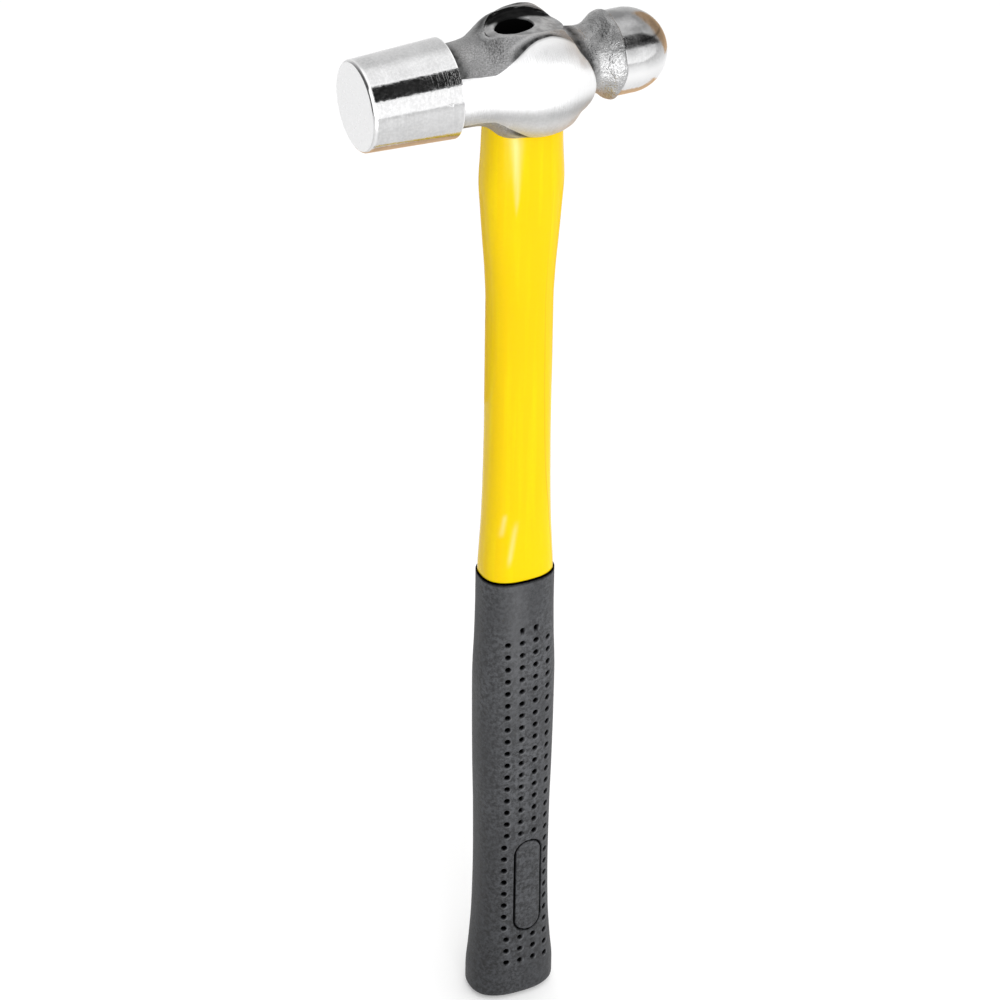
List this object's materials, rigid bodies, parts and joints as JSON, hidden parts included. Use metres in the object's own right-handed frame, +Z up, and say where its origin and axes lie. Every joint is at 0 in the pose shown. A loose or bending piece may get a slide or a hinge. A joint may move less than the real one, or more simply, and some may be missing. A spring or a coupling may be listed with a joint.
{
  "type": "ball peen hammer",
  "caption": "Ball peen hammer with a forged steel head, polished striking poll and ball, glossy shaft and dimpled rubber grip.",
  "frame": {"origin": "centre of the grip's flat butt end, on the handle's axis", "axes": "+Z up the handle towards the head, -X towards the striking face, +X towards the ball"},
  "size_m": [0.1015, 0.0408, 0.3591],
  "materials": {
    "steel": "turned bright on the poll, cheeks and ball, grey and blasted between them",
    "yellow_jacket": "gloss",
    "grip_rubber": "matt, mottled",
    "resin": "dull black",
    "fibreglass": "rough, with fibres along it"
  },
  "bodies": {
    "root": {"head": "steel", "handle_core": "fibreglass", "handle_jacket": "yellow_jacket", "grip": "grip_rubber", "eye_resin": "resin"}
  },
  "joints": []
}
